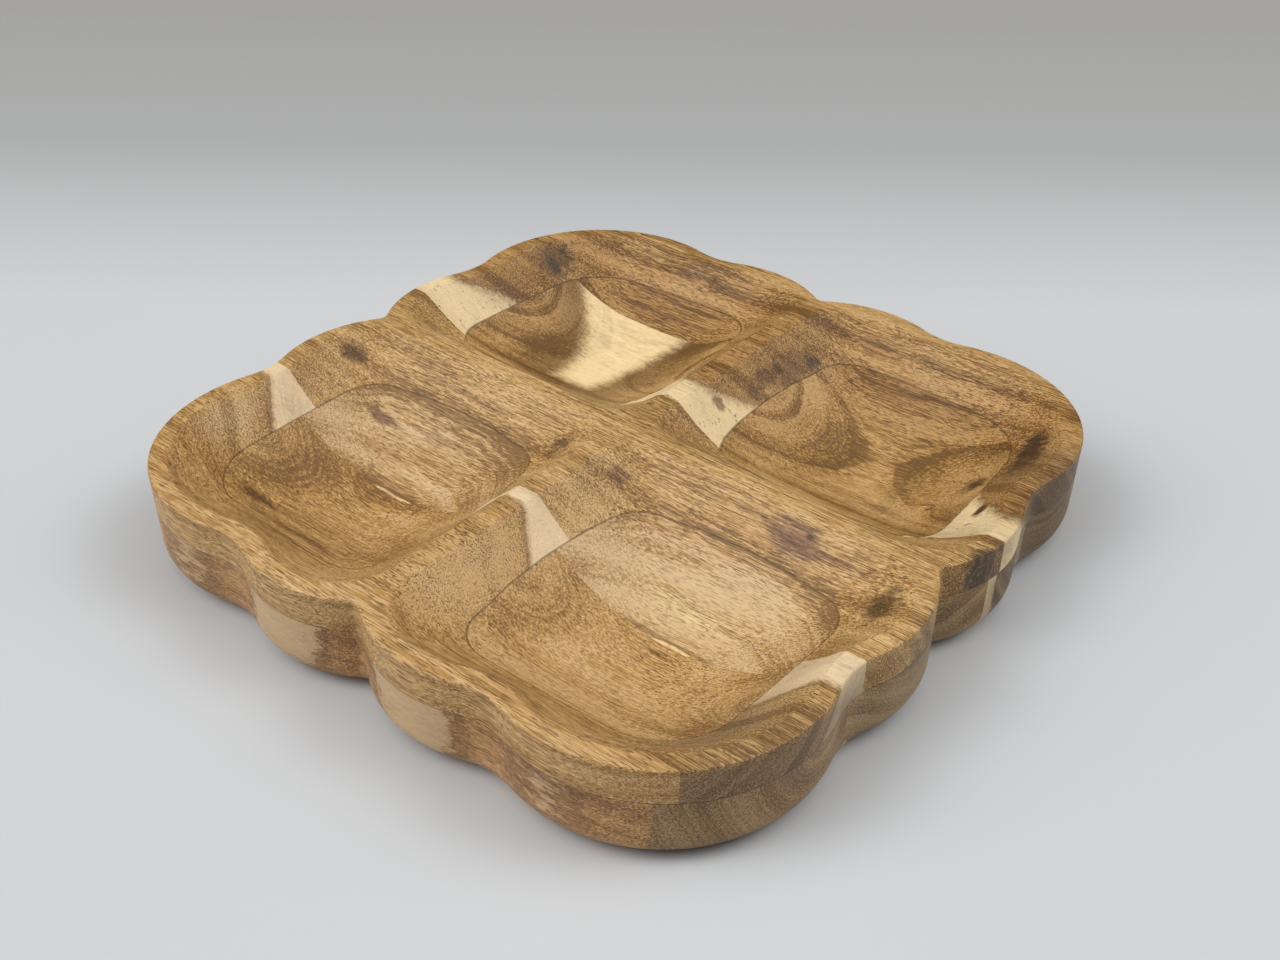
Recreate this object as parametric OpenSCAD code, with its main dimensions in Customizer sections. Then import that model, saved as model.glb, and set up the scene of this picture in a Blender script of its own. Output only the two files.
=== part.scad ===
// Divided serving bowl of edge-glued wood, square with a scalloped edge and four scooped pockets.
// Two layers of staves are glued face to face. Every stave runs along X. Sizes are in millimetres.
// The origin is at the middle of the flat foot, +Z is up, and the side towards -Y is called front.

/* [Overall size] */
// Width across the lobes, the same along X and Y
tray_width = 304.8; // [290:0.5:330]
// Height from the table to the rim
tray_height = 41.5; // [39:0.5:50]
// Thickness of the upper layer of staves
top_layer = 14; // [10:0.5:18]

/* [Scalloped edge] */
// Radius of each of the two lobes on a side
lobe_radius = 52.7; // [46:0.1:58]
// Distance between the two lobe centres of a side
lobe_spacing = 64.8; // [56:0.2:70]
// Radius of the round corners
corner_radius = 61.7; // [54:0.1:66]
// How far the corners stay back from the lobes
corner_setback = 3; // [1:0.1:6]
// Radius of the shallow hollow between a lobe and a corner
hollow_radius = 33.8; // [24:0.1:44]
// Radius at the bottom of the notch in the middle of a side
notch_radius = 4.5; // [2:0.1:8]
// Radius that turns the wall under to the foot
foot_radius = 12.7; // [8:0.1:18]
// Radius of the eased outer edge of the rim
lip_radius = 1; // [0.5:0.1:2]

/* [Pockets] */
// Width of the ribs between the pockets at the top
rib_width = 12; // [9:0.5:16]
// Width of the rim between the outer edge and a pocket
rim_width = 9; // [7:0.2:12]
// Depth of a pocket below the rim
pocket_depth = 32.2; // [28:0.2:34]
// How far the pocket wall runs in by the glue joint between the layers
wall_run = 13.7; // [10:0.1:17]
// Radius of the pocket corner by the middle of the tray, at the rim
inner_corner = 16; // [12:0.5:22]
// Radius of the two pocket corners at the middles of the sides, at the rim
side_corner = 24; // [18:0.5:30]
// Radius of the inner corner at the glue joint
joint_corner = 12; // [8:0.5:16]
// Radius of the two side corners at the glue joint
joint_side_corner = 16; // [10:0.5:22]
// Radius of the outer pocket corner at the glue joint
joint_outer_corner = 30; // [22:0.5:36]
// How far the sides by the ribs bow at the glue joint
side_bow = 7.5; // [4:0.1:10]
// How far the outer sides lean in towards the outer corner at the glue joint
outer_lean = 2; // [0:0.1:4]
// Size of the eased edge where the rim turns into a pocket
pocket_ease = 1.6; // [1:0.1:2.5]

/* [Staves of the upper layer] */
// Width of the front edge stave
top_front_width = 19.7; // [18:0.1:26]
// Width of the back edge stave
top_back_width = 20.3; // [18:0.1:26]
// Distance of the seam in front of the middle line
top_front_seam = 57.3; // [45:0.1:70]
// Distance of the seam behind the middle line
top_back_seam = 28.4; // [20:0.1:40]

/* [Staves of the lower layer] */
// Width of the front edge stave
low_front_width = 14.5; // [12:0.1:22]
// Width of the back edge stave
low_back_width = 47.4; // [36:0.1:60]
// Distance of the seam in front of the middle line
low_front_seam = 64.6; // [50:0.1:75]
// Distance of the seam behind the middle line
low_back_seam = 22.3; // [14:0.1:34]

/* [Hidden] */
$fn = 96;
// Cuts run past the wood by this much
overrun = 2;
half = tray_width / 2;
joint_z = tray_height - top_layer;
// Centres of the arcs that make the edge, for the side towards +Y and its right-hand half
lobe_at = [lobe_spacing / 2, half - lobe_radius];
corner_at = (half - corner_setback - corner_radius) * [1, 1];
// The hollows cut this far into the round parts, so every arc crosses the next one cleanly
bite = 0.03;
hollow_at = meet(lobe_at, lobe_radius + hollow_radius - bite, corner_at, corner_radius + hollow_radius - bite);
notch_at = [0, lobe_at[1] + sqrt(pow(lobe_radius + notch_radius - bite, 2) - pow(lobe_at[0], 2))];
// Directions of the tangent points where one arc hands over to the next
lobe_from = heading(lobe_at, hollow_at);
lobe_to = heading(lobe_at, notch_at);
corner_to = heading(corner_at, hollow_at);
corner_from = 90 - corner_to;

// Pocket sides in one quarter of the tray, u and v counted outwards from its middle
near = rib_width / 2;
hollow_reach = hollow_at[1] - hollow_radius;
joint_near = near + wall_run;
joint_far = hollow_reach - rim_width - wall_run;
joint_mid = (joint_near + joint_far) / 2;
// Steps round half a pocket: inner corner, rib side, side corner, rim side, outer corner
corner_steps = 4;
rib_steps = 4;
side_steps = 7;
rim_steps = 8;
outer_steps = 5;
// Rings of the bowl below the joint, as shares of its plan, and the flat at its middle
bowl_shares = [0.86, 0.71, 0.55, 0.38, 0.2];
flat_share = 0.06;
// How round the plan has become at the middle of the bowl
round_share = 0.8;
// How much of the run the wall has made halfway down to the joint
halfway_share = 0.45;

// Point where two circles meet, on the left of the line from a to b
function meet(a, ra, b, rb) =
  let (d = norm(b - a), e = (b - a) / d, x = (d * d + ra * ra - rb * rb) / (2 * d))
  a + x * e + sqrt(ra * ra - x * x) * [-e[1], e[0]];
function heading(a, b) = atan2(b[1] - a[1], b[0] - a[0]);
function polar(c, r, a) = c + r * [cos(a), sin(a)];

// Pocket form
// Plan of a pocket edge: half of it from the inner corner to the outer one, then its mirror image
function plan(half_path) = concat(half_path,
  [for (i = [len(half_path) - 2:-1:1]) [half_path[i][1], half_path[i][0]]]);
// An arc, without its end point
function arc(c, r, from, to, steps) = [for (i = [0:steps - 1]) polar(c, r, from + (to - from) * i / steps)];
function line(a, b, steps) = [for (i = [0:steps - 1]) a + (b - a) * i / steps];

// At the rim the outer sides keep the rim's width, so they wave with the lobes
function rim_reach(v) =
  let (lobe_end = polar(lobe_at, lobe_radius - rim_width, lobe_from)[0],
       corner_start = polar(corner_at, corner_radius - rim_width, corner_to)[0])
  v < lobe_end ? lobe_at[1] + sqrt(pow(lobe_radius - rim_width, 2) - pow(v - lobe_at[0], 2))
  : v < corner_start ? hollow_at[1] - sqrt(pow(hollow_radius + rim_width, 2) - pow(v - hollow_at[0], 2))
  : corner_at[1] + sqrt(pow(corner_radius - rim_width, 2) - pow(v - corner_at[0], 2));
rim_side_start = near + side_corner;
rim_side_end = polar(corner_at, corner_radius - rim_width, corner_to)[0];
rim_corner_mid = [rim_reach(rim_side_start) - side_corner, near + side_corner];
rim_half = concat(
  arc((near + inner_corner) * [1, 1], inner_corner, 225, 270, corner_steps),
  line([near + inner_corner, near], [rim_corner_mid[0], near], rib_steps),
  arc(rim_corner_mid, side_corner, -90, 0, side_steps),
  [for (i = [0:rim_steps - 1]) let (v = rim_side_start + (rim_side_end - rim_side_start) * i / rim_steps)
    [rim_reach(v), v]],
  arc(corner_at, corner_radius - rim_width, corner_from, 45, outer_steps),
  [polar(corner_at, corner_radius - rim_width, 45)]);

// At the joint the sides by the ribs bow, and the outer sides lean in towards the outer corner
function bow(s) = side_bow * pow((s - joint_mid) / (joint_far - joint_mid), 2);
joint_low = joint_near + bow(joint_near + joint_corner);
joint_side = joint_far - joint_side_corner;
side_start = joint_near + bow(joint_side) + joint_side_corner;
joint_outer = joint_far - outer_lean - joint_outer_corner;
joint_half = concat(
  arc((joint_low + joint_corner) * [1, 1], joint_corner, 225, 270, corner_steps),
  [for (i = [0:rib_steps - 1]) let (u = joint_low + joint_corner
      + (joint_side - joint_low - joint_corner) * i / rib_steps) [u, joint_near + bow(u)]],
  arc([joint_side, side_start], joint_side_corner, -90, 0, side_steps),
  [for (i = [0:rim_steps - 1]) let (k = i / rim_steps)
    [joint_far - outer_lean * k * k, side_start + (joint_outer - side_start) * k]],
  arc(joint_outer * [1, 1], joint_outer_corner, 0, 45, outer_steps),
  [polar(joint_outer * [1, 1], joint_outer_corner, 45)]);

rim_plan = plan(rim_half);
joint_plan = plan(joint_half);
function raised(points, z) = [for (p = points) [p[0], p[1], z]];
// Share k of the way from the rim's plan to the joint's
function between(k) = [for (i = [0:len(rim_plan) - 1]) rim_plan[i] + k * (joint_plan[i] - rim_plan[i])];
// The joint's plan drawn in to a share s about the pocket's middle, rounder the smaller it is
function shrunk(s) = [for (p = joint_plan) let (m = joint_mid * [1, 1], d = p - m, k = round_share * (1 - s))
  m + s * ((1 - k) * d + k * (joint_mid - joint_near) * d / norm(d))];
ease_share = pocket_ease / wall_run;

// Closed skin over rings of equal count, with flat ends
module skin(rings) {
  n = len(rings[0]);
  m = len(rings);
  polyhedron(points = [for (r = rings) each r], faces = concat(
    [[for (i = [n - 1:-1:0]) i]],
    [for (k = [0:m - 2], i = [0:n - 1]) let (a = k * n + i, b = k * n + (i + 1) % n) each
      [[a, b, a + n], [b, b + n, a + n]]],
    [[for (i = [0:n - 1]) (m - 1) * n + i]]), convexity = 6);
}

// Share k of the way from ring a to ring b, and on past it for k over 1
function mix(a, b, k) = [for (i = [0:len(a) - 1]) a[i] + k * (b[i] - a[i])];
// The part of a pocket that goes through the upper layer, with an eased edge at the rim
edge_ring = raised(between(-ease_share), tray_height);
eased_ring = raised(between(ease_share / 2), tray_height - pocket_ease);
half_ring = raised(between(halfway_share), tray_height - top_layer / 2);
joint_ring = raised(joint_plan, joint_z);
module pocket_in_top() skin([
  mix(eased_ring, edge_ring, 1 + overrun / pocket_ease),
  eased_ring, half_ring,
  mix(half_ring, joint_ring, 1 + overrun / (top_layer / 2))]);

// The bowl of a pocket in the lower layer, deepest at its middle
bowl_depth = pocket_depth - top_layer;
bowl_rings = [for (s = bowl_shares) raised(shrunk(s), joint_z - bowl_depth * (1 - s * s))];
module pocket_in_low() skin(concat(
  [mix(bowl_rings[0], joint_ring, 1 + overrun / (bowl_depth * (1 - bowl_shares[0] * bowl_shares[0])))],
  bowl_rings,
  [raised(shrunk(flat_share), joint_z - bowl_depth)]));

// Quarters are numbered from back right, anticlockwise
module quarter(q) mirror([q == 1 || q == 2 ? 1 : 0, 0, 0]) mirror([0, q > 1 ? 1 : 0, 0]) children();

// Scalloped blank
// Rounded edges stop at this share of their radius, so they meet the flat faces at a soft corner
arc_share = 0.94;
// A quarter disc of radius r, pointing up or down, cut off flat
module rounding(r, up) intersection() {
  circle(r);
  translate([0, up ? 0 : -arc_share * r]) square([r, arc_share * r]);
}
// Section of a round part of the edge, from its axis out to r, with a rounded foot and lip
module full_section(r, low, high, foot, lip) {
  translate([0, low + arc_share * foot]) square([r, high - low - arc_share * (foot + lip)]);
  if (foot > 0) {
    translate([0, low]) square([r - foot, arc_share * foot]);
    translate([r - foot, low + arc_share * foot]) rounding(foot, false);
  }
  if (lip > 0) {
    translate([0, high - arc_share * lip]) square([r - lip, arc_share * lip]);
    translate([r - lip, high - arc_share * lip]) rounding(lip, true);
  }
}
// Section of what a hollow of radius r takes away, wider at the foot and the lip
module hollow_section(r, low, high, foot, lip) {
  translate([0, low - overrun]) square([r, high - low + 2 * overrun]);
  if (foot > 0) difference() {
    translate([0, low - overrun]) square([r + foot, arc_share * foot + overrun]);
    translate([r + foot, low + arc_share * foot]) circle(foot);
  }
  if (lip > 0) difference() {
    translate([0, high - arc_share * lip]) square([r + lip, arc_share * lip + overrun]);
    translate([r + lip, high - arc_share * lip]) circle(lip);
  }
}
// Centres of all the arcs in order round the tray, each quarter turned on from the last
function turned(p, t) = [p[0] * cos(t) - p[1] * sin(t), p[0] * sin(t) + p[1] * cos(t)];
function flipped(p) = [-p[0], p[1]];
star = [for (k = [0:3]) each [for (p = [corner_at, hollow_at, lobe_at, notch_at, flipped(lobe_at),
  flipped(hollow_at)]) turned(p, 90 * k)]];
module blank(low, high, foot, lip) difference() {
  union() {
    translate([0, 0, low]) linear_extrude(high - low) polygon(star);
    for (k = [0:3]) {
      translate(turned(corner_at, 90 * k)) rotate_extrude() full_section(corner_radius, low, high, foot, lip);
      for (p = [lobe_at, flipped(lobe_at)])
        translate(turned(p, 90 * k)) rotate_extrude() full_section(lobe_radius, low, high, foot, lip);
    }
  }
  for (k = [0:3]) {
    translate(turned(notch_at, 90 * k)) rotate_extrude() hollow_section(notch_radius, low, high, foot, lip);
    for (p = [hollow_at, flipped(hollow_at)])
      translate(turned(p, 90 * k)) rotate_extrude() hollow_section(hollow_radius, low, high, foot, lip);
  }
}

// Staves
// Seams run straight from end to end. Two staves of the upper layer are cut into three by the pockets,
// so their blocks stop at the pockets' middles, where there is no wood.
module top_block(x0, x1, y0, y1) intersection() {
  blank(joint_z, tray_height, 0, lip_radius);
  translate([x0, y0, joint_z - overrun]) cube([x1 - x0, y1 - y0, top_layer + 2 * overrun]);
}
module low_block(y0, y1) intersection() {
  blank(0, joint_z, foot_radius, 0);
  translate([-half - overrun, y0, -overrun]) cube([tray_width + 2 * overrun, y1 - y0, joint_z + 2 * overrun]);
}
// A block with the pocket of quarter q scooped out
module top_scooped(q) difference() { children(); quarter(q) pocket_in_top(); }
module low_scooped(q) difference() { children(); quarter(q) pocket_in_low(); }

end = half + overrun;
top_front_edge = -(half - top_front_width);
top_back_edge = half - top_back_width;
low_front_edge = -(half - low_front_width);
low_back_edge = half - low_back_width;

module top_front_edge_stave() color("#c8955a")
  top_scooped(2) top_scooped(3) top_block(-end, end, -end, top_front_edge);
module top_front_left_end() color("#b98c5c")
  top_scooped(2) top_block(-end, -joint_mid, top_front_edge, -top_front_seam);
module top_front_rib() color("#b98c5c")
  top_scooped(2) top_scooped(3) top_block(-joint_mid, joint_mid, top_front_edge, -top_front_seam);
module top_front_right_end() color("#b98c5c")
  top_scooped(3) top_block(joint_mid, end, top_front_edge, -top_front_seam);
module top_centre_stave() color("#c29a66") top_scooped(0) top_scooped(1) top_scooped(2) top_scooped(3)
  top_block(-end, end, -top_front_seam, top_back_seam);
module top_back_left_end() color("#e2c591")
  top_scooped(1) top_block(-end, -joint_mid, top_back_seam, top_back_edge);
module top_back_rib() color("#e2c591")
  top_scooped(0) top_scooped(1) top_block(-joint_mid, joint_mid, top_back_seam, top_back_edge);
module top_back_right_end() color("#e2c591")
  top_scooped(0) top_block(joint_mid, end, top_back_seam, top_back_edge);
module top_back_edge_stave() color("#b5875a")
  top_scooped(0) top_scooped(1) top_block(-end, end, top_back_edge, end);
module low_front_edge_stave() color("#cdb38a")
  low_block(-end, low_front_edge);
module low_front_stave() color("#a97b4c")
  low_scooped(2) low_scooped(3) low_block(low_front_edge, -low_front_seam);
module low_centre_stave() color("#c49c62") low_scooped(0) low_scooped(1) low_scooped(2) low_scooped(3)
  low_block(-low_front_seam, low_back_seam);
module low_back_stave() color("#dfc48c")
  low_scooped(0) low_scooped(1) low_block(low_back_seam, low_back_edge);
module low_back_edge_stave() color("#a5784e")
  low_scooped(0) low_scooped(1) low_block(low_back_edge, end);

top_front_edge_stave();
top_front_left_end();
top_front_rib();
top_front_right_end();
top_centre_stave();
top_back_left_end();
top_back_rib();
top_back_right_end();
top_back_edge_stave();
low_front_edge_stave();
low_front_stave();
low_centre_stave();
low_back_stave();
low_back_edge_stave();
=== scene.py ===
import math
import bpy
from mathutils import Matrix, Vector, kdtree


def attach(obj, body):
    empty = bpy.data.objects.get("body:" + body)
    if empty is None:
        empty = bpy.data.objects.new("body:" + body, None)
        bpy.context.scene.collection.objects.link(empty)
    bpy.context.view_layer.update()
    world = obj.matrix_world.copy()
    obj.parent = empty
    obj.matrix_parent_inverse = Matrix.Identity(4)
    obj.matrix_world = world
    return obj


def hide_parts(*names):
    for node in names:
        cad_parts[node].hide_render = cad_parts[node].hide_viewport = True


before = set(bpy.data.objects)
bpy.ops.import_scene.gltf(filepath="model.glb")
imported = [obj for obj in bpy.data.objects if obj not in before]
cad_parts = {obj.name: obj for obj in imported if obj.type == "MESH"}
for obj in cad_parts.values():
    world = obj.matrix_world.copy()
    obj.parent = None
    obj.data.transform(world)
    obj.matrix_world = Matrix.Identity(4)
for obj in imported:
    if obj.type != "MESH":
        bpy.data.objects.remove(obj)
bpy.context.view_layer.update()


# Lower front edge stave. A narrow strip of acacia along the front of the lower layer, edge-glued to
# its neighbour and face-glued under the upper layer. Its outer sapwood shows as pale lobe crests.
weld = 0.000002         # metres within which two points of the loose triangles are one
crease = 50.0           # degrees from which an edge stays sharp


def joined_copy(node, wood):
    """A merged, smooth-shaded copy of a stave, dressed in one wood. It stands for its CAD node."""
    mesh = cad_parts[node].data.copy()
    mesh.materials.clear()
    piece = bpy.data.objects.new("wood_" + node, mesh)
    bpy.context.collection.objects.link(piece)
    bpy.ops.object.select_all(action="DESELECT")
    piece.select_set(True)
    bpy.context.view_layer.objects.active = piece
    if mesh.has_custom_normals:
        bpy.ops.mesh.customdata_custom_splitnormals_clear()
    bpy.ops.object.mode_set(mode="EDIT")
    bpy.ops.mesh.select_all(action="SELECT")
    bpy.ops.mesh.remove_doubles(threshold=weld)
    bpy.ops.mesh.dissolve_degenerate(threshold=weld)
    bpy.ops.mesh.normals_make_consistent(inside=False)
    bpy.ops.object.mode_set(mode="OBJECT")
    bpy.ops.object.shade_smooth_by_angle(angle=math.radians(crease))
    mesh.materials.append(wood)
    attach(piece, "root")
    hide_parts(node)
    return piece


class Grain:
    """Node helpers for solid wood. Places and lengths are in millimetres in the tray's own frame. A
    noise's stretch is its number of waves in a millimetre along X, Y and Z."""

    def __init__(self, name):
        self.material = bpy.data.materials.new(name)
        self.material.use_nodes = True
        self.nodes = self.material.node_tree.nodes
        self.links = self.material.node_tree.links
        self.nodes.clear()
        metres = self.nodes.new("ShaderNodeTexCoord").outputs["Object"]
        self.place = self.vector("SCALE", metres, scale=1000.0)
        self.y, self.z = self.split(self.place)[1:]

    def put(self, socket, value):
        if isinstance(value, bpy.types.NodeSocket):
            self.links.new(value, socket)
        else:
            socket.default_value = value

    def split(self, place):
        n = self.nodes.new("ShaderNodeSeparateXYZ")
        self.put(n.inputs[0], place)
        return n.outputs[0], n.outputs[1], n.outputs[2]

    def math(self, how, a, b=0.0, c=0.0, clamp=False):
        n = self.nodes.new("ShaderNodeMath")
        n.operation, n.use_clamp = how, clamp
        for socket, value in zip(n.inputs, (a, b, c)):
            self.put(socket, value)
        return n.outputs[0]

    def vary(self, base, by, amount):
        """base plus amount times a noise about its middle."""
        return self.math("ADD", base, self.math("MULTIPLY_ADD", by, amount, -0.5 * amount))

    def vector(self, how, a, b=(0.0, 0.0, 0.0), scale=1.0):
        n = self.nodes.new("ShaderNodeVectorMath")
        n.operation = how
        self.put(n.inputs[0], a)
        if how == "SCALE":
            self.put(n.inputs["Scale"], scale)
        else:
            self.put(n.inputs[1], b)
        return n.outputs["Value" if how == "LENGTH" else "Vector"]

    def drift(self, place, by, amount):
        """place moved by amount times a vector."""
        return self.vector("ADD", place, self.vector("SCALE", by, scale=amount))

    def tuned(self, n, detail, rough):
        for socket, value in (("Scale", 1.0), ("Detail", detail), ("Roughness", rough)):
            n.inputs[socket].default_value = value
        return n.outputs

    def noise(self, place, stretch, detail, rough):
        n = self.nodes.new("ShaderNodeTexNoise")
        self.put(n.inputs["Vector"], self.vector("MULTIPLY", place, stretch))
        return self.tuned(n, detail, rough)["Fac"]

    def vector_noise(self, stretch, detail, rough):
        """A noise of three numbers, each about 0."""
        n = self.nodes.new("ShaderNodeTexNoise")
        self.put(n.inputs["Vector"], self.vector("MULTIPLY", self.place, stretch))
        return self.vector("SUBTRACT", self.tuned(n, detail, rough)["Color"], (0.5, 0.5, 0.5))

    def line_noise(self, along, detail, rough):
        n = self.nodes.new("ShaderNodeTexNoise")
        n.noise_dimensions = "1D"
        self.put(n.inputs["W"], along)
        return self.tuned(n, detail, rough)["Fac"]

    def step(self, value, low, high, to_low=0.0, to_high=1.0):
        n = self.nodes.new("ShaderNodeMapRange")
        n.interpolation_type = "SMOOTHSTEP"
        self.put(n.inputs["Value"], value)
        for socket, v in zip(("From Min", "From Max", "To Min", "To Max"), (low, high, to_low, to_high)):
            n.inputs[socket].default_value = v
        return n.outputs["Result"]

    def mix(self, fac, a, b):
        n = self.nodes.new("ShaderNodeMix")
        n.data_type, n.clamp_factor = "RGBA", True
        self.put(n.inputs["Factor"], fac)
        for socket, value in ((n.inputs["A"], a), (n.inputs["B"], b)):
            self.put(socket, value if isinstance(value, bpy.types.NodeSocket) else (*value, 1.0))
        return n.outputs["Result"]

    def ramp(self, fac, stops):
        n = self.nodes.new("ShaderNodeValToRGB")
        self.put(n.inputs["Fac"], fac)
        while len(n.color_ramp.elements) < len(stops):
            n.color_ramp.elements.new(0.5)
        for e, (at, colour) in zip(n.color_ramp.elements, stops):
            e.position, e.color = at, (*colour, 1.0)
        return n.outputs["Color"]

    def near(self, place, at, size, power=1.0):
        """power at a spot, falling to 0 at the given half-sizes round it."""
        away = self.vector("DIVIDE", self.vector("SUBTRACT", place, at), size)
        return self.step(self.vector("LENGTH", away), 0.0, 1.0, power, 0.0)

    def grained(self, grain, shade):
        """shade, darker and lighter with the grain, and never so light that it loses its hue."""
        light = min(1.6, 0.85 / max(shade))
        return self.ramp(grain, ((0.1, [0.55 * c for c in shade]), (0.5, shade),
                                 (0.9, [light * c for c in shade])))


def oiled_acacia(name, dark, middle, light, pith, ring, warp, bands, lines, long=1.0, pores=1.0,
                 dash=0.5, sap=None, fray=1.0, soft=0.5, sap_tone=None, knots=(), rings=(), figure_and_painted_sheen=(),
                 stains_and_painted_light=(), end_grain_and_painted_shade=()):
    """Satin-oiled acacia with growth rings about a pith line that runs along X at a given Y and Z.

    ring is the width of a ring and warp is how far it wanders. bands, lines, long and pores say how
    strongly the broad bands, the rings, the streaks along the grain and the pores show, and dash how
    short the pores are. sap gives the depth into the pale sapwood, fray how ragged its edge is, and
    soft how wide. knots are (place, radius, reach, push), rings are (radius, half-width, shift in
    tone), the figure, which also holds painted sheen, is (place, half-sizes, shift in tone), and the
    stains, which also hold painted sheen and painted shade, and the darker end grain with painted shade
    at the right-hand end, are (place, half-sizes, colour, strength)."""
    g = Grain(name)
    # a slow wobble and a finer curl move every place, so that no ring runs quite straight
    wobble = g.vector_noise((0.010, 0.022, 0.03), 1.0, 0.5)
    curl = g.vector_noise((0.07, 0.13, 0.13), 2.0, 0.5)
    place = g.vector("ADD", g.place, g.vector("MULTIPLY", wobble, (0.0, 2.2 * warp, 2.2 * warp)))
    place = g.vector("ADD", place, g.vector("MULTIPLY", curl, (0.0, 0.55 * warp, 0.55 * warp)))
    # distance from the pith line, pushed aside round the knots
    y, z = g.split(place)[1:]
    dy, dz = g.math("SUBTRACT", y, pith[0]), g.math("SUBTRACT", z, pith[1])
    radius = g.math("SQRT", g.math("ADD", g.math("MULTIPLY", dy, dy), g.math("MULTIPLY", dz, dz)))
    for at, size, reach, push in knots:
        radius = g.math("ADD", g.near(g.place, at, (1.25 * reach, reach, reach), push), radius)
    # broad bands, growth rings, slow patches and fibres
    broad = g.line_noise(g.math("DIVIDE", radius, 3.2 * ring), 1.0, 0.5)
    narrow = g.line_noise(g.math("DIVIDE", radius, 0.45 * ring), 3.0, 0.6)
    patch = g.noise(place, (0.012, 0.05, 0.05), 2.0, 0.5)
    slow = g.noise(g.place, (0.009, 0.03, 0.05), 1.0, 0.5)
    streak = g.noise(g.drift(g.place, curl, 2.0), (0.014, 1.3, 1.3), 2.0, 0.7)
    fibre = g.noise(g.vector("ADD", g.place, curl), (0.06, 2.0, 2.0), 2.0, 0.7)
    flame = g.noise(g.place, (0.10, 0.5, 0.5), 2.0, 0.6)
    tear = g.noise(g.place, (0.14, 0.4, 0.4), 3.0, 0.65)
    tone = 0.5
    for by, amount in ((broad, 1.3 * bands), (patch, 0.9 * bands), (slow, 1.6 * bands),
                       (narrow, 0.4 * lines), (g.step(narrow, 0.40, 0.56), 0.16 * lines),
                       (streak, 1.3 * long), (fibre, 2.2 * long), (flame, 0.35)):
        tone = g.vary(tone, by, amount)
    for at, width, shift in rings:
        away = g.math("ABSOLUTE", g.math("SUBTRACT", radius, at))
        tone = g.math("ADD", g.step(away, 0.0, width, shift, 0.0), tone)
    torn = g.drift(g.place, curl, 12.0)
    for at, size, shift in figure_and_painted_sheen:
        tone = g.math("ADD", g.near(torn, at, size, shift), tone)
    colour = g.ramp(tone, ((0.15, dark), (0.5, middle), (0.85, light)))
    # pores: short dark dashes along the grain, thick on some rings and thin on others
    some = g.math("MULTIPLY_ADD", g.math("SUBTRACT", narrow, 0.5), 1.1, 0.72)
    some = g.vary(some, g.noise(g.place, (0.02, 0.08, 0.08), 2.0, 0.6), 1.1)
    dashes = g.noise(g.drift(g.place, curl, 0.8), (0.6 * dash, 2.4, 2.4), 1.0, 0.6)
    pore = g.math("MULTIPLY", g.step(dashes, 0.51, 0.62), some, clamp=True)
    # sapwood, mottled, with a dark line where it meets the heartwood, and with fainter pores
    if sap:
        depth = g.vary(g.vary(sap(g, place), fibre, 1.6 * fray), tear, 5.0 * fray)
        line = g.math("MULTIPLY", g.step(depth, -3.2, -0.4), g.step(depth, 0.5, 0.0))
        colour = g.mix(g.math("MULTIPLY", line, 0.55), colour, [0.75 * c for c in dark])
        pale = g.step(depth, -soft, 2.0 * soft)
        veins = 0.55
        for by, amount in ((narrow, 0.35), (fibre, 0.4), (streak, 0.4), (flame, 0.4), (patch, 1.2)):
            veins = g.vary(veins, by, amount)
        cream_tones = g.ramp(veins, ((0.15, [0.62 * c for c in sap_tone]), (0.5, sap_tone),
                                     (0.85, [min(1.0, 1.12 * c) for c in sap_tone])))
        colour = g.mix(pale, colour, cream_tones)
        pore = g.math("MULTIPLY", pore, g.math("MULTIPLY_ADD", pale, -0.8, 1.0))
    # darker end grain, with painted shade, over the right-hand end, then stains and knots, ragged and
    # drawn out along the grain
    grain = 0.5
    for by, amount in ((streak, 1.6), (fibre, 2.4), (narrow, 1.1), (broad, 1.5)):
        grain = g.vary(grain, by, amount)
    for at, size, shade, strength in end_grain_and_painted_shade:
        spot = g.math("MINIMUM", g.near(g.place, at, size, 2.4), strength)
        colour = g.mix(spot, colour, g.grained(grain, shade))
    for at, size, shade, strength in stains_and_painted_light:
        spot = g.step(g.vary(g.near(place, at, size), tear, 1.5), 0.15, 0.85)
        colour = g.mix(g.math("MULTIPLY", spot, strength), colour, g.grained(grain, shade))
    knot_black = (0.07, 0.034, 0.017)
    for at, size, reach, push in knots:
        heart = g.near(g.place, at, (2.2 * size, 1.5 * size, 1.5 * size))
        heart = g.step(g.vary(heart, tear, 2.0), 0.3, 0.9)
        colour = g.mix(g.math("MULTIPLY", heart, 0.8), colour, knot_black)
    pore_show = g.math("MULTIPLY", pore, 0.8 * pores, clamp=True)
    colour = g.mix(pore_show, colour, [0.55 * c for c in dark])
    # the thin dark glue line between the two layers
    glue_height, glue_core, glue_edge = 27.6, 0.08, 0.32
    glue = g.math("ABSOLUTE", g.math("SUBTRACT", g.z, glue_height))
    glue = g.step(glue, glue_core, glue_edge, 1.0, 0.0)
    colour = g.mix(g.math("MULTIPLY", glue, 0.6), colour, [0.3 * c for c in dark])
    # satin oil: the pores are a little rougher and lower than the wood between them
    shader = g.nodes.new("ShaderNodeBsdfPrincipled")
    g.put(shader.inputs["Base Color"], colour)
    rough = g.math("MULTIPLY_ADD", fibre, 0.2, 0.30)
    g.put(shader.inputs["Roughness"], g.math("ADD", rough, g.math("MULTIPLY", pore, 0.15)))
    shader.inputs["Specular IOR Level"].default_value = 0.25
    pore_depth = 0.00025    # metres
    bump = g.nodes.new("ShaderNodeBump")
    bump.inputs["Strength"].default_value = 0.4
    bump.inputs["Distance"].default_value = pore_depth
    g.put(bump.inputs["Height"], g.math("SUBTRACT", g.math("MULTIPLY", fibre, 0.6), pore))
    g.put(shader.inputs["Normal"], bump.outputs["Normal"])
    out = g.nodes.new("ShaderNodeOutputMaterial")
    g.links.new(shader.outputs[0], out.inputs["Surface"])
    return g.material


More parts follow.
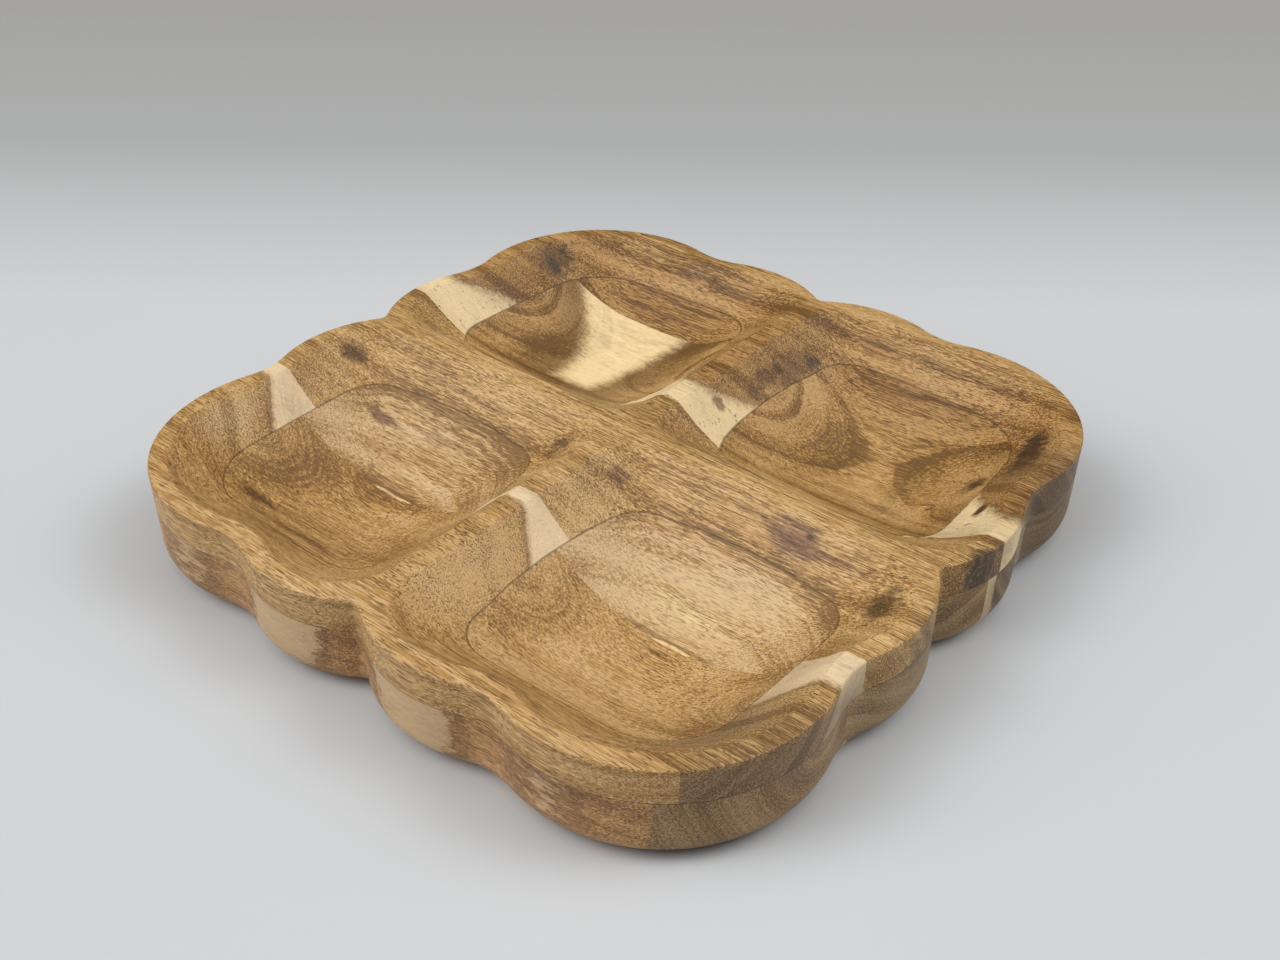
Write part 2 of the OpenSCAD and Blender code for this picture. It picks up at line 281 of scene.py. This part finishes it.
def outer_sapwood(g, place):
    """Everything further forward than 149.3 mm from the middle."""
    return g.math("MULTIPLY_ADD", g.split(place)[1], -1.0, -149.3)


front_edge = oiled_acacia(
    "front_edge_wood",
    dark=(0.260, 0.125, 0.050), middle=(0.529, 0.282, 0.104), light=(0.671, 0.396, 0.184),
    pith=(-60.0, 230.0), ring=1.6, warp=3.0, bands=0.5, lines=0.7, long=0.8, pores=1.1,
    sap=outer_sapwood, fray=1.4, soft=0.8, sap_tone=(0.58, 0.40, 0.215))
staves = [joined_copy("low_front_edge_stave", front_edge)]


# Lower front stave. A broad reddish-brown board with curly rings about a pith above it, a dark streak
# in the left pocket and a small knot in the right one. Glued between the edge and centre staves.
reddish = oiled_acacia(
    "reddish_board",
    dark=(0.220, 0.110, 0.038), middle=(0.527, 0.295, 0.092), light=(0.686, 0.441, 0.201),
    pith=(-82.0, 34.0), ring=2.6, warp=2.4, bands=0.6, lines=0.8, long=0.8, dash=0.8,
    knots=[((28.0, -108.0, 24.0), 1.2, 12.0, 4.0)],
    figure_and_painted_sheen=[((32.0, -84.0, 20.0), (26.0, 30.0, 16.0), -0.3),
            ((-112.0, -88.0, 20.0), (26.0, 30.0, 16.0), -0.3),
            ((-62.0, -74.0, 14.0), (34.0, 14.0, 12.0), 0.4)],
    stains_and_painted_light=[((-98.0, -108.0, 22.0), (20.0, 6.0, 9.0), (0.11, 0.050, 0.02), 0.8),
            ((-65.0, -116.0, 24.0), (50.0, 5.0, 9.0), (0.14, 0.062, 0.022), 0.8),
            ((-100.0, -82.0, 17.0), (28.0, 18.0, 12.0), (0.30, 0.145, 0.055), 0.35),
            ((114.0, -103.0, 24.0), (10.0, 14.0, 9.0), (0.24, 0.10, 0.035), 0.6)],
    # darker end grain and painted shade over the right-hand end
    end_grain_and_painted_shade=[((172.0, -122.0, 14.0), (80.0, 100.0, 46.0), (0.23, 0.150, 0.082), 0.6)])
staves.append(joined_copy("low_front_stave", reddish))


# Lower centre stave. A tan board under the long rib, glued like the rest, with many short dark pores
# and a thin pale sliver beside its front seam.
def sliver_of_sapwood(g, place):
    """A low ridge of pale wood along Y -64, which comes out where the pocket floors are deepest."""
    beside = g.math("ABSOLUTE", g.math("ADD", g.y, 64.0))
    return g.math("SUBTRACT", g.math("MULTIPLY_ADD", g.z, -1.0, 10.6), beside)


tan = oiled_acacia(
    "tan_board",
    dark=(0.247, 0.130, 0.048), middle=(0.538, 0.318, 0.120), light=(0.695, 0.476, 0.251),
    pith=(-26.0, 81.0), ring=3.0, warp=3.0, bands=0.9, lines=0.9, pores=0.9, dash=0.42,
    sap=sliver_of_sapwood, sap_tone=(0.80, 0.57, 0.27),
    figure_and_painted_sheen=[((96.0, -34.0, 16.0), (44.0, 18.0, 14.0), 0.35),
            ((80.0, -24.0, 24.0), (70.0, 14.0, 9.0), 0.55),
            ((-62.0, -54.0, 14.0), (40.0, 12.0, 12.0), 0.35)],
    stains_and_painted_light=[((-105.0, -37.0, 21.0), (19.0, 6.0, 8.0), (0.16, 0.075, 0.045), 0.8),
            ((-70.0, -33.0, 17.0), (50.0, 3.0, 8.0), (0.20, 0.10, 0.038), 0.6),
            ((-90.0, -50.0, 15.0), (30.0, 8.0, 8.0), (0.36, 0.18, 0.065), 0.5),
            ((62.0, -29.0, 17.0), (50.0, 6.0, 8.0), (0.34, 0.19, 0.07), 0.3),
            ((72.0, -48.0, 12.0), (42.0, 6.0, 8.0), (0.78, 0.56, 0.27), 0.7)],
    # darker end grain and painted shade over the right-hand end
    end_grain_and_painted_shade=[((168.0, -25.0, 14.0), (50.0, 66.0, 34.0), (0.21, 0.145, 0.075), 0.65)])
staves.append(joined_copy("low_centre_stave", tan))


# Lower back stave. The board with most figure: its rings lie round a pith above it and come out as
# arcs in both pockets. It has a wedge of cream sapwood in the left pocket, a knot in the right one
# and pale patches at its right-hand end. Edge-glued between its neighbours.
def wedge_of_sapwood(g, place):
    """Between the wedge's two curved sides, or in a pale patch towards the right-hand end."""
    x, y = g.split(place)[:2]
    u = g.math("MULTIPLY_ADD", y, 1.0 / 30.0, -2.5)
    uu = g.math("MULTIPLY", u, u)
    left = g.math("ADD", g.math("MULTIPLY_ADD", u, 14.0, 91.0), g.math("MULTIPLY_ADD", uu, 8.0, x))
    left = g.math("MULTIPLY_ADD", g.math("MULTIPLY", uu, u), 4.0, left)
    right = g.math("SUBTRACT", g.math("MULTIPLY_ADD", u, 6.0, -57.0),
                   g.math("MULTIPLY_ADD", uu, -4.0, x))
    inside = g.math("MINIMUM", g.math("MINIMUM", left, right), g.math("SUBTRACT", y, 44.0))
    corner = g.math("MINIMUM", g.math("SUBTRACT", 28.0, y), g.math("SUBTRACT", x, 114.0))
    foot = g.math("MINIMUM", g.math("SUBTRACT", 24.0, y), g.math("SUBTRACT", x, 26.0))
    beside = g.math("ABSOLUTE", g.math("SUBTRACT", y, 56.0))
    band = g.math("MINIMUM", g.math("SUBTRACT", 6.0, beside), g.math("SUBTRACT", x, 142.0))
    edges = g.math("MAXIMUM", g.math("MAXIMUM", corner, foot), band)
    return g.math("MAXIMUM", g.math("MULTIPLY", inside, 0.12), edges)


figured = oiled_acacia(
    "figured_board",
    dark=(0.178, 0.090, 0.027), middle=(0.428, 0.230, 0.069), light=(0.617, 0.374, 0.148),
    pith=(78.0, 52.0), ring=1.3, warp=1.4, bands=0.8, lines=0.8, long=0.8, pores=0.9,
    sap=wedge_of_sapwood, fray=0.22, sap_tone=(0.86, 0.64, 0.34),
    knots=[((118.0, 78.0, 24.0), 4.0, 24.0, 9.0), ((107.0, 58.0, 19.0), 2.0, 10.0, 3.0)],
    rings=[(41.0, 2.4, -0.42), (38.0, 2.2, -0.1), (34.5, 2.4, 0.25), (30.0, 2.4, -0.22)],
    figure_and_painted_sheen=[((110.0, 70.0, 20.0), (14.0, 34.0, 20.0), 0.2),
            ((72.0, 82.0, 12.0), (18.0, 34.0, 14.0), 0.3),
            ((70.0, 42.0, 14.0), (60.0, 12.0, 14.0), -0.25),
            ((-37.0, 78.0, 17.0), (16.0, 40.0, 16.0), -0.3),
            ((-100.0, 62.0, 17.0), (14.0, 44.0, 16.0), -0.35),
            ((-70.0, 36.0, 18.0), (60.0, 10.0, 14.0), -0.2)],
    stains_and_painted_light=[((88.0, 72.0, 12.0), (10.0, 30.0, 12.0), (0.22, 0.15, 0.045), 0.4),
            ((90.0, 52.0, 13.0), (16.0, 8.0, 10.0), (0.21, 0.13, 0.05), 0.45),
            ((117.0, 78.0, 24.0), (9.0, 12.0, 12.0), (0.14, 0.065, 0.03), 0.8)],
    # darker end grain and painted shade over the right-hand end
    end_grain_and_painted_shade=[((172.0, 66.0, 14.0), (60.0, 66.0, 34.0), (0.14, 0.098, 0.056), 0.75)])
staves.append(joined_copy("low_back_stave", figured))


# Lower back edge stave. Brown, straight-grained, with a few dark lines along the pocket walls. It
# closes the lower layer at the back.
straight_brown = oiled_acacia(
    "straight_brown",
    dark=(0.139, 0.064, 0.017), middle=(0.366, 0.184, 0.052), light=(0.514, 0.298, 0.108),
    pith=(210.0, -30.0), ring=2.6, warp=2.0, bands=0.8, lines=0.9,
    stains_and_painted_light=[((-70.0, 113.0, 23.0), (70.0, 1.5, 9.0), (0.13, 0.065, 0.025), 0.6),
            ((72.0, 118.0, 25.0), (60.0, 1.5, 9.0), (0.16, 0.08, 0.03), 0.4)])
staves.append(joined_copy("low_back_edge_stave", straight_brown))


# Upper front edge stave. Golden-orange and straight-grained, it makes the whole front rim. Glued on
# top of the lower layer, like every upper stave.
golden = oiled_acacia(
    "golden_rim",
    dark=(0.295, 0.152, 0.054), middle=(0.565, 0.323, 0.113), light=(0.724, 0.482, 0.239),
    pith=(-170.0, 420.0), ring=0.9, warp=1.4, bands=0.4, lines=0.5, long=0.65, pores=1.2, dash=0.3)
staves.append(joined_copy("top_front_edge_stave", golden))


# The second upper stave from the front, which the pockets cut into a left end, a rib and a right end.
# Brown acacia glued on the lower layer. Pale sapwood runs along its back seam and leans forward with
# depth.
def leaning_sapwood(g, place):
    """Behind an edge that slopes with height, and that steps forward at the right end."""
    x, y, z = g.split(place)
    edge = g.math("MULTIPLY_ADD", z, 1.0, -107.5)
    edge = g.math("ADD", edge, g.step(x, 100.0, 128.0, 0.0, -7.0))
    return g.math("SUBTRACT", y, edge)


banded = oiled_acacia(
    "banded_board",
    dark=(0.219, 0.111, 0.039), middle=(0.491, 0.268, 0.083), light=(0.652, 0.407, 0.169),
    pith=(-260.0, 170.0), ring=2.0, warp=2.5, bands=0.6, lines=0.9, pores=1.2, dash=0.6,
    sap=leaning_sapwood, fray=0.7, soft=1.4, sap_tone=(0.80, 0.60, 0.36),
    # both figure places are painted sheen: paler on the left walls of the two pockets
    figure_and_painted_sheen=[((10.0, -100.0, 36.0), (22.0, 64.0, 28.0), 0.5),
            ((-136.0, -95.0, 34.0), (18.0, 50.0, 22.0), 0.2)],
    stains_and_painted_light=[((-137.0, -71.0, 34.0), (7.0, 2.5, 7.0), (0.045, 0.022, 0.012), 1.0),
            # painted sheen: greyer and paler on the left wall of the left pocket
            ((-136.0, -95.0, 34.0), (15.0, 34.0, 16.0), (0.50, 0.36, 0.20), 0.4)],
    # darker end grain and painted shade over the right-hand end
    end_grain_and_painted_shade=[((172.0, -122.0, 26.0), (80.0, 100.0, 24.0), (0.17, 0.115, 0.07), 0.65)])
for node in ("top_front_left_end", "top_front_rib", "top_front_right_end"):
    staves.append(joined_copy(node, banded))


# Upper centre stave. The one inner board that runs whole from side to side and carries the long rib,
# tan with a pale ridge and darker knots in the pocket walls. Glued on the lower layer.
ridge = oiled_acacia(
    "ridge_board",
    dark=(0.233, 0.121, 0.044), middle=(0.538, 0.308, 0.101), light=(0.729, 0.475, 0.214),
    pith=(-190.0, -50.0), ring=2.2, warp=2.5, bands=0.5, lines=0.65, pores=0.9, dash=0.6,
    knots=[((94.0, -9.0, 37.0), 1.6, 18.0, 4.0), ((-17.0, -20.0, 32.0), 2.0, 16.0, 4.0)],
    stains_and_painted_light=[((89.0, -12.0, 35.0), (24.0, 14.0, 12.0), (0.22, 0.115, 0.065), 0.75),
            ((90.0, -7.0, 38.0), (16.0, 3.0, 4.0), (0.09, 0.042, 0.022), 0.6),
            ((-17.0, -19.0, 32.0), (12.0, 13.0, 12.0), (0.11, 0.055, 0.022), 0.85),
            ((12.0, -21.0, 33.0), (12.0, 10.0, 10.0), (0.15, 0.07, 0.035), 0.8),
            ((134.0, -22.0, 34.0), (13.0, 16.0, 12.0), (0.10, 0.055, 0.02), 0.85),
            ((-136.0, -24.0, 35.0), (13.0, 11.0, 10.0), (0.12, 0.065, 0.025), 0.85),
            ((-75.0, -15.0, 34.0), (55.0, 3.0, 7.0), (0.22, 0.11, 0.045), 0.7),
            ((-130.0, 14.0, 34.0), (14.0, 10.0, 9.0), (0.18, 0.11, 0.035), 0.7),
            # darker end grain and painted shade over the right-hand end
            ((165.0, -25.0, 30.0), (32.0, 36.0, 26.0), (0.17, 0.120, 0.062), 0.75),
            ((153.0, 15.0, 35.0), (12.0, 24.0, 30.0), (0.055, 0.038, 0.026), 0.95)])
staves.append(joined_copy("top_centre_stave", ridge))


# The second upper stave from the back, in three pieces like its partner in front. Cream sapwood along
# its front seam, brown heartwood behind, and black knots in the left walls of both pockets.
def widening_sapwood(g, place):
    """In front of an edge that slopes with height, a little further back at the left end."""
    x, y, z = g.split(place)
    edge = g.math("MULTIPLY_ADD", z, -1.65, 111.5)
    return g.math("SUBTRACT", g.math("ADD", edge, g.step(x, -118.0, -130.0, 0.0, 4.0)), y)


cream = oiled_acacia(
    "cream_board",
    dark=(0.161, 0.075, 0.022), middle=(0.402, 0.205, 0.059), light=(0.572, 0.335, 0.129),
    pith=(260.0, 170.0), ring=2.2, warp=3.0, bands=0.7, lines=0.65, long=1.1, pores=1.1, dash=0.6,
    sap=widening_sapwood, fray=2.2, soft=3.5, sap_tone=(0.82, 0.62, 0.34),
    figure_and_painted_sheen=[((80.0, 127.0, 34.0), (70.0, 8.0, 9.0), 0.4),
            ((-70.0, 127.0, 34.0), (60.0, 8.0, 9.0), 0.3)],
    stains_and_painted_light=[((-132.0, 104.0, 35.0), (20.0, 18.0, 16.0), (0.12, 0.065, 0.028), 0.9),
            ((-127.0, 101.0, 35.0), (20.0, 4.5, 8.0), (0.045, 0.028, 0.018), 0.8),
            ((-134.0, 112.0, 36.0), (10.0, 7.0, 8.0), (0.05, 0.03, 0.02), 0.75),
            ((17.0, 98.0, 32.0), (14.0, 28.0, 16.0), (0.13, 0.07, 0.03), 0.65),
            ((21.0, 108.0, 32.0), (9.0, 9.0, 9.0), (0.045, 0.028, 0.018), 0.8),
            ((12.0, 90.0, 33.0), (10.0, 5.0, 9.0), (0.08, 0.045, 0.022), 0.7),
            ((16.0, 68.0, 33.0), (11.0, 9.0, 10.0), (0.24, 0.14, 0.055), 0.75),
            ((129.0, 97.0, 34.0), (14.0, 30.0, 14.0), (0.09, 0.045, 0.02), 1.0),
            ((127.0, 102.0, 34.0), (9.0, 17.0, 10.0), (0.05, 0.028, 0.015), 0.8),
            ((132.0, 51.0, 34.0), (4.0, 9.0, 7.0), (0.10, 0.05, 0.02), 1.0),
            ((12.0, 46.0, 35.0), (8.0, 5.0, 7.0), (0.22, 0.12, 0.05), 0.8),
            ((14.0, 80.0, 34.0), (8.0, 18.0, 9.0), (0.14, 0.075, 0.03), 0.8)],
    # darker end grain and painted shade over the right-hand end
    end_grain_and_painted_shade=[((172.0, 84.0, 28.0), (60.0, 50.0, 24.0), (0.11, 0.074, 0.043), 0.75)])
for node in ("top_back_left_end", "top_back_rib", "top_back_right_end"):
    staves.append(joined_copy(node, cream))


# Upper back edge stave. A brown board with wavy dark lines, glued on top of the lower layer. It makes
# the whole back rim.
back_rim = oiled_acacia(
    "back_rim",
    dark=(0.170, 0.086, 0.029), middle=(0.431, 0.230, 0.070), light=(0.606, 0.372, 0.148),
    pith=(330.0, 160.0), ring=1.8, warp=3.0, bands=0.8, lines=0.85)
staves.append(joined_copy("top_back_edge_stave", back_rim))


# All staves were carved and sanded together after gluing, so the shading runs over each seam without
# a break: a facet shares its normals with the neighbouring facets of every stave that it meets.
glue_plane = 0.0275     # metres up from the table, between the two layers
seams = (-0.1379, -0.1327, -0.0646, -0.0573, 0.0223, 0.0284, 0.105, 0.1321)     # metres along Y
on_seam = 0.00002       # metres within which a facet's centre lies in a glued face
same_point = 0.00003    # metres within which corners of two staves are one point of the tray
square = 0.999          # least part of a unit normal along Y or Z on a glued face
level = 0.9999          # least upright part of a unit normal on the flat rim and the underside
bend = 0.64             # cosine of the sharpest bend that is shaded smooth, about 50 degrees
level_weight = 100.0    # how much more a level facet counts than a curved one of its size


def glued(face):
    if abs(face.normal.z) > square and abs(face.center.z - glue_plane) < on_seam:
        return True
    return abs(face.normal.y) > square and min(abs(face.center.y - s) for s in seams) < on_seam


facets = []
for stave in staves:
    for face in stave.data.polygons:
        if not glued(face):
            # 1e10 only brings square metres squared up to numbers near one
            weight = 1e10 * face.area ** 2 * (level_weight if abs(face.normal.z) > level else 1.0)
            for v in face.vertices:
                facets.append((stave.data.vertices[v].co.copy(), face.normal.copy(), weight))
tree = kdtree.KDTree(len(facets))
for i, (co, normal, weight) in enumerate(facets):
    tree.insert(co, i)
tree.balance()
for stave in staves:
    mesh = stave.data
    normals = [None] * len(mesh.loops)
    for face in mesh.polygons:
        for loop, v in zip(face.loop_indices, face.vertices):
            total = face.normal.copy()
            if not glued(face):
                total *= 1e-9
                for _, i, _ in tree.find_range(mesh.vertices[v].co, same_point):
                    normal, weight = facets[i][1:]
                    both_or_neither = (face.normal.z > level) == (normal.z > level)
                    if both_or_neither and face.normal.dot(normal) > bend:
                        total += normal * weight
            normals[loop] = total.normalized()
    mesh.normals_split_custom_set(normals)


# The table top, which isn't part of the tray: a plain pale sheet just under the tray's foot. It
# is painted a little darker with distance behind the tray, a painted shade like that of a curving
# backdrop.
floor_size, floor_height = 8.0, -0.0002
straight_back = (-0.623, 0.782, 0.0)
painted_shade_start, painted_shade_end, painted_shade_middle = 0.18, 0.68, 0.45
floor_and_painted_shade_tones = ((0.60, 0.605, 0.61), (0.40, 0.402, 0.395), (0.36, 0.350, 0.325))
bpy.ops.object.select_all(action="DESELECT")
bpy.ops.mesh.primitive_plane_add(size=floor_size, location=(0.0, 0.0, floor_height))
floor = bpy.context.object
floor.name = "pale_table"
sheet = bpy.data.materials.new("pale_sheet")
sheet.use_nodes = True
nodes, links = sheet.node_tree.nodes, sheet.node_tree.links
shader = nodes["Principled BSDF"]
# painted shade: the sheet's colour darkens with distance behind the tray
away = nodes.new("ShaderNodeVectorMath")
away.operation = "DOT_PRODUCT"
away.inputs[1].default_value = straight_back
links.new(nodes.new("ShaderNodeTexCoord").outputs["Object"], away.inputs[0])
reach = nodes.new("ShaderNodeMapRange")
reach.inputs["From Min"].default_value = painted_shade_start
reach.inputs["From Max"].default_value = painted_shade_end
links.new(away.outputs["Value"], reach.inputs["Value"])
painted_shade_ramp = nodes.new("ShaderNodeValToRGB")
painted_shade_ramp.color_ramp.elements.new(painted_shade_middle)
for e, shade in zip(painted_shade_ramp.color_ramp.elements, floor_and_painted_shade_tones):
    e.color = (*shade, 1.0)
links.new(reach.outputs["Result"], painted_shade_ramp.inputs["Fac"])
links.new(painted_shade_ramp.outputs["Color"], shader.inputs["Base Color"])
shader.inputs["Roughness"].default_value = 0.6
shader.inputs["Specular IOR Level"].default_value = 0.2
floor.data.materials.append(sheet)


# Soft studio light, as in a white box with its open side towards the camera: it comes from above and
# from the left and right sides, and almost nothing comes from the front. The walls look pale grey.
overhead = ((0.0, 0.0, 1.0), 8.0, 1.75)         # direction, sharpness and strength
left_side = (((-0.422, -0.485, 0.766), 32.0, 6.3), ((-0.579, -0.666, 0.469), 32.0, 3.2),
             ((-0.557, -0.795, 0.242), 8.0, 1.0))
right_side = (((0.492, 0.413, 0.766), 32.0, 6.1), ((0.676, 0.568, 0.469), 32.0, 2.3))
wall_tone = 0.62
room = bpy.data.worlds.new("room")
room.use_nodes = True
nodes, links = room.node_tree.nodes, room.node_tree.links
where = nodes.new("ShaderNodeTexCoord").outputs["Generated"]


def towards(direction, power, strength):
    """Light from one side of the room, fading with the angle away from it."""
    dot = nodes.new("ShaderNodeVectorMath")
    dot.operation = "DOT_PRODUCT"
    dot.inputs[1].default_value = direction
    links.new(where, dot.inputs[0])
    last = dot.outputs["Value"]
    for how, value in (("MAXIMUM", 0.0), ("POWER", power), ("MULTIPLY", strength)):
        n = nodes.new("ShaderNodeMath")
        n.operation = how
        n.inputs[1].default_value = value
        links.new(last, n.inputs[0])
        last = n.outputs[0]
    return last


light = towards(*overhead)
for lamp in left_side + right_side:
    n = nodes.new("ShaderNodeMath")
    n.operation = "ADD"
    links.new(light, n.inputs[0])
    links.new(towards(*lamp), n.inputs[1])
    light = n.outputs[0]
seen = nodes.new("ShaderNodeMix")
seen.data_type = "FLOAT"
links.new(nodes.new("ShaderNodeLightPath").outputs["Is Camera Ray"], seen.inputs["Factor"])
links.new(light, seen.inputs["A"])
seen.inputs["B"].default_value = wall_tone
links.new(seen.outputs["Result"], nodes["Background"].inputs["Strength"])
nodes["Background"].inputs["Color"].default_value = (0.97, 0.985, 1.0, 1.0)
bpy.context.scene.world = room
bpy.context.scene.view_settings.view_transform = "Standard"


# The camera. It stands at the photograph's place, about 0.6 m from the tray, and looks down at 35
# degrees on the corner between the front and the right-hand side.
sensor_width, focal_length = 36.0, 38.85        # millimetres
stand = (0.29467, -0.36010, 0.34141)
yaw, pitch, roll = 0.673079, 0.611326, 0.014589
view = bpy.data.cameras.new("camera")
view.sensor_fit, view.sensor_width, view.lens = "HORIZONTAL", sensor_width, focal_length
view.clip_start, view.clip_end = 0.02, 50.0
camera = bpy.data.objects.new("camera", view)
bpy.context.collection.objects.link(camera)
right = Vector((math.cos(yaw), math.sin(yaw), 0.0))
back = Vector((math.sin(yaw) * math.cos(pitch), -math.cos(yaw) * math.cos(pitch), math.sin(pitch)))
up = back.cross(right)
side = right * math.cos(roll) + up * math.sin(roll)
top = up * math.cos(roll) - right * math.sin(roll)
turn = Matrix((side, top, back)).transposed().to_4x4()
camera.matrix_world = Matrix.Translation(stand) @ turn
bpy.context.scene.camera = camera
